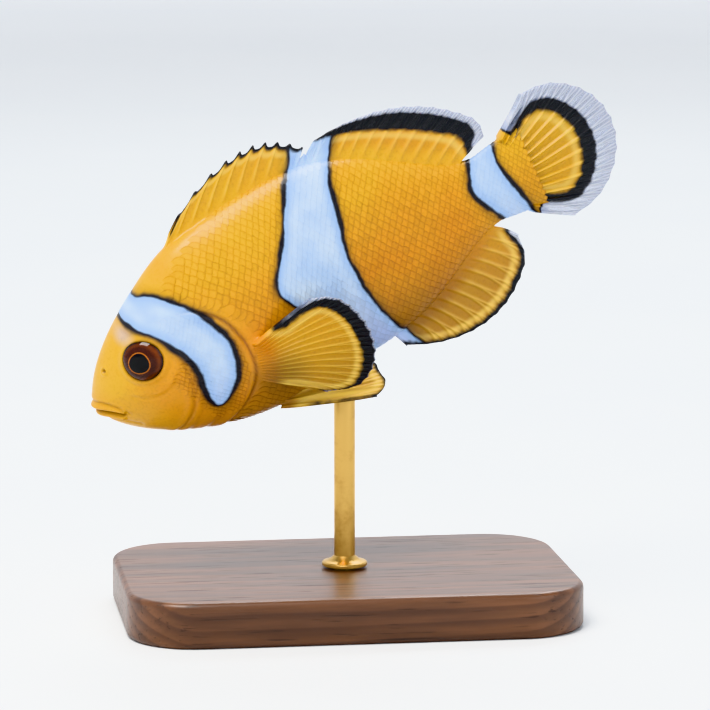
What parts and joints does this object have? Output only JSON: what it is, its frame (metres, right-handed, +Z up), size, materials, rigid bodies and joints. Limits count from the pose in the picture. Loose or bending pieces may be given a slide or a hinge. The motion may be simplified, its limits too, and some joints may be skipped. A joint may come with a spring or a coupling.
{
  "type": "clownfish",
  "caption": "Life-size clownfish with orange body, white bars and black-edged fins, curving nose down above a plain display stand.",
  "frame": {"origin": "centre of the stand base's underside, on the surface it stands on", "axes": "+Z up; the fish faces -Y and its left flank faces +X"},
  "size_m": [0.04, 0.0701, 0.0706],
  "materials": {
    "skin": "moist scaled skin, amber with white bars and black fin bands",
    "eye": "clear wet gloss over a dark pupil and bronze iris",
    "stand_wood": "satin dark walnut",
    "stand_brass": "satin brushed"
  },
  "bodies": {
    "root": {"head": "skin", "lower_jaw": "skin", "gill_cover_left": "skin", "gill_cover_right": "skin", "trunk": "skin", "tail_stalk": "skin", "tail_fin": "skin", "dorsal_fin_spiny": "skin", "dorsal_fin_soft": "skin", "anal_fin": "skin", "pectoral_fin_left": "skin", "pectoral_fin_right": "skin", "pelvic_fin_left": "skin", "pelvic_fin_right": "skin", "eye_left": "eye", "eye_right": "eye", "stand_base": "stand_wood", "stand_rod": "stand_brass"}
  },
  "joints": []
}
